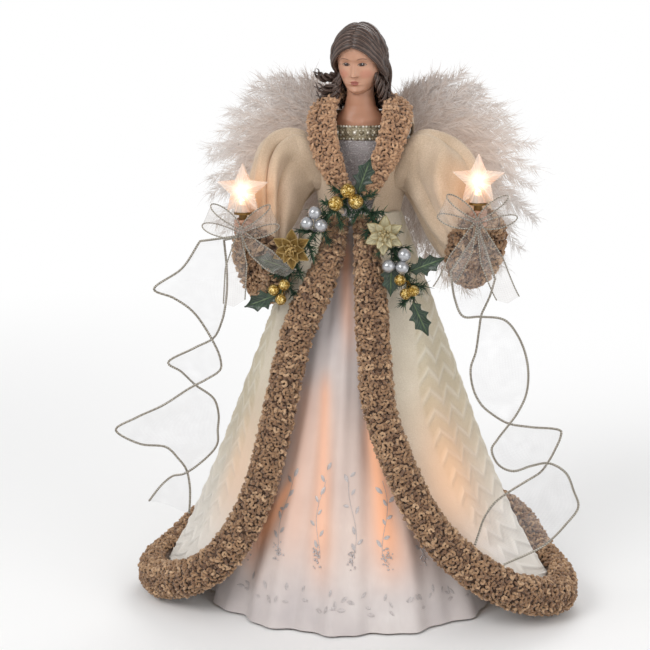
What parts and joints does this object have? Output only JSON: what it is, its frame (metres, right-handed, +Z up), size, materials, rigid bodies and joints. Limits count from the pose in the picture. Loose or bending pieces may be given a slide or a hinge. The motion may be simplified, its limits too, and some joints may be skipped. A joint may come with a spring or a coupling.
{
  "type": "lighted angel tree topper",
  "caption": "Tree topper figure of a robed angel on a hollow cone, with feather wings, a curled-pile trimmed coat, a waist garland, trailing ribbons and lit clear stars in the hands.",
  "frame": {"origin": "on the axis of the body cone, on the plane that the cone's foot ring stands on", "axes": "+Z up, -Y towards the front of the figure, +X to the viewer's right in the front view"},
  "size_m": [0.3249, 0.2224, 0.406],
  "materials": {
    "cone": "moulded, matt white",
    "skin": "cast resin, painted",
    "hair": "cast resin, painted brown",
    "brocade": "silver-lilac brocade",
    "lace": "beaded metallic lace",
    "plush": "ivory embossed plush",
    "satin": "white satin, embroidered",
    "trim": "tan curled pile",
    "wire": "plain",
    "acrylic": "clear, lit warm white",
    "lamp": "clear, lit warm white",
    "holder": "bronze-brown",
    "organza": "sheer silver, wired edges",
    "feather": "white marabou",
    "pine": "dark green",
    "gold": "gold glitter",
    "pearl": "silvery pearl",
    "champagne": "champagne, glitter edge",
    "holly": "dark green",
    "lead": "pale green-white"
  },
  "bodies": {
    "figure": {"body_cone": "cone", "lamp_harness": "lead", "skirt_lamp_1": "lamp", "skirt_lamp_2": "lamp", "skirt_lamp_3": "lamp", "skirt_lamp_4": "lamp", "skirt_lamp_5": "lamp", "skirt_lamp_6": "lamp", "torso_form": "cone", "bust": "skin", "hair": "hair", "bodice": "brocade", "lace_band": "lace", "coat_upper": "plush", "collar": "trim", "coat_skirt": "plush", "trim_left": "trim", "hem_trim": "trim", "trim_right": "trim", "inner_skirt": "satin", "wing_bracket": "wire", "garland_stem": "pine", "gold_berries_middle": "gold", "gold_berries_left": "gold", "gold_berries_right": "gold", "pearls_left": "pearl", "pearls_right": "pearl", "poinsettia_left": "gold", "poinsettia_right": "champagne", "holly_leaf_1": "holly", "holly_leaf_2": "holly", "holly_leaf_3": "holly", "holly_leaf_4": "holly", "holly_leaf_5": "holly", "holly_leaf_6": "holly"},
    "arm_left": {"arm_wire_left": "wire", "hand_left": "skin", "star_holder_left": "holder", "star_lamp_left": "lamp", "sleeve_left": "plush", "cuff_left": "trim", "bow_left": "organza", "ribbon_left": "organza"},
    "star_left": {"star_left": "acrylic"},
    "wing_left": {"wing_wire_left": "wire", "wing_left": "feather"},
    "arm_right": {"arm_wire_right": "wire", "hand_right": "skin", "star_holder_right": "holder", "star_lamp_right": "lamp", "sleeve_right": "plush", "cuff_right": "trim", "bow_right": "organza", "ribbon_right": "organza"},
    "star_right": {"star_right": "acrylic"},
    "wing_right": {"wing_wire_right": "wire", "wing_right": "feather"}
  },
  "joints": [
    {"name": "shoulder_left", "type": "hinge", "parent": "figure", "child": "arm_left", "pos_m": [-0.026, 0, 0.332], "axis": [0, 1, 0], "range_deg": [0, 15]},
    {"name": "star_pull_left", "type": "slide", "parent": "arm_left", "child": "star_left", "axis": [0, 0, 1], "range_m": [0, 0.02]},
    {"name": "wing_fold_left", "type": "hinge", "parent": "figure", "child": "wing_left", "pos_m": [-0.009, 0.033, 0.318], "axis": [0, 0, -1], "range_deg": [0, 35]},
    {"name": "shoulder_right", "type": "hinge", "parent": "figure", "child": "arm_right", "pos_m": [0.034, 0, 0.332], "axis": [0, -1, 0], "range_deg": [0, 15]},
    {"name": "star_pull_right", "type": "slide", "parent": "arm_right", "child": "star_right", "axis": [0, 0, 1], "range_m": [0, 0.02]},
    {"name": "wing_fold_right", "type": "hinge", "parent": "figure", "child": "wing_right", "pos_m": [0.017, 0.033, 0.318], "axis": [0, 0, 1], "range_deg": [0, 35]}
  ]
}
